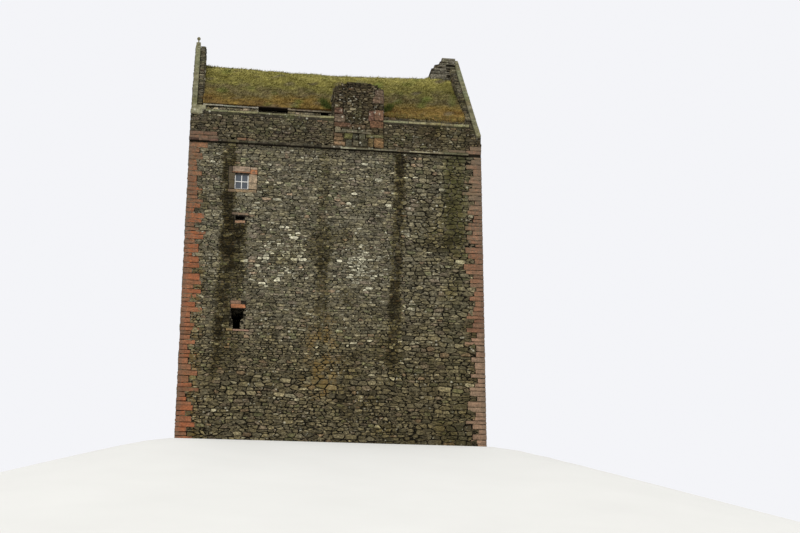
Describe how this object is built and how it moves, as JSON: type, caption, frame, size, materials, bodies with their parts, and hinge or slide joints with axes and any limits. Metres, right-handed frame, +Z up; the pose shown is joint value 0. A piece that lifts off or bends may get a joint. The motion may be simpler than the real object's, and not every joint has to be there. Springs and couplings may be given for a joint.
{
  "type": "tower house",
  "caption": "Tall oblong keep of dark rubble with red sandstone corners, a stone string course, broken chimney stacks and a turf roof between stone gables.",
  "frame": {"origin": "middle of the footprint on the ground", "axes": "+Z up, the long front with the chimney stack faces -Y, the gables stand at the ends of X"},
  "size_m": [12.1, 9.88, 19.5149],
  "materials": {
    "rubble": "rough whinstone rubble in lime mortar",
    "red_sandstone": "weathered tooled sandstone",
    "dressed_stone": "weathered pale sandstone with lichen",
    "flagstone": "split flagstone",
    "turf": "rough grass turf on earth",
    "oak": "dry weathered oak",
    "sash_paint": "off-white paint",
    "window_glass": "clear pane"
  },
  "bodies": {
    "root": {"front_wall": "rubble", "back_wall": "rubble", "left_wall": "rubble", "right_wall": "rubble", "front_left_quoins": "red_sandstone", "front_right_quoins": "red_sandstone", "back_left_quoins": "red_sandstone", "back_right_quoins": "red_sandstone", "front_window_surround": "red_sandstone", "front_window_sash": "sash_paint", "front_window_glass": "window_glass", "back_window_surrounds": "red_sandstone", "back_window_sashes": "sash_paint", "back_window_glass": "window_glass", "front_slit_dressing": "red_sandstone", "front_loop_dressing": "red_sandstone", "back_door_surround": "red_sandstone", "back_door_leaf": "oak", "left_slit_frames": "red_sandstone", "right_slit_frames": "red_sandstone", "cellar_floor": "flagstone", "cellar_vault": "rubble", "chamber_floor": "oak", "attic_floor": "oak", "centre_stack": "rubble", "front_string_course": "dressed_stone", "back_string_course": "dressed_stone", "front_parapet": "rubble", "back_parapet": "rubble", "front_coping": "dressed_stone", "back_coping": "dressed_stone", "front_wall_walk": "flagstone", "back_wall_walk": "flagstone", "front_attic_wall": "rubble", "back_attic_wall": "rubble", "front_eaves_slabs": "flagstone", "back_eaves_slabs": "flagstone", "turf_roof": "turf", "roof_vault": "rubble", "left_finial": "dressed_stone", "left_skewputt": "dressed_stone", "left_gable": "rubble", "right_gable": "rubble", "left_gable_skew": "dressed_stone", "right_gable_skew": "dressed_stone", "right_ridge_stack": "rubble", "left_ridge_stack": "rubble"}
  },
  "joints": []
}
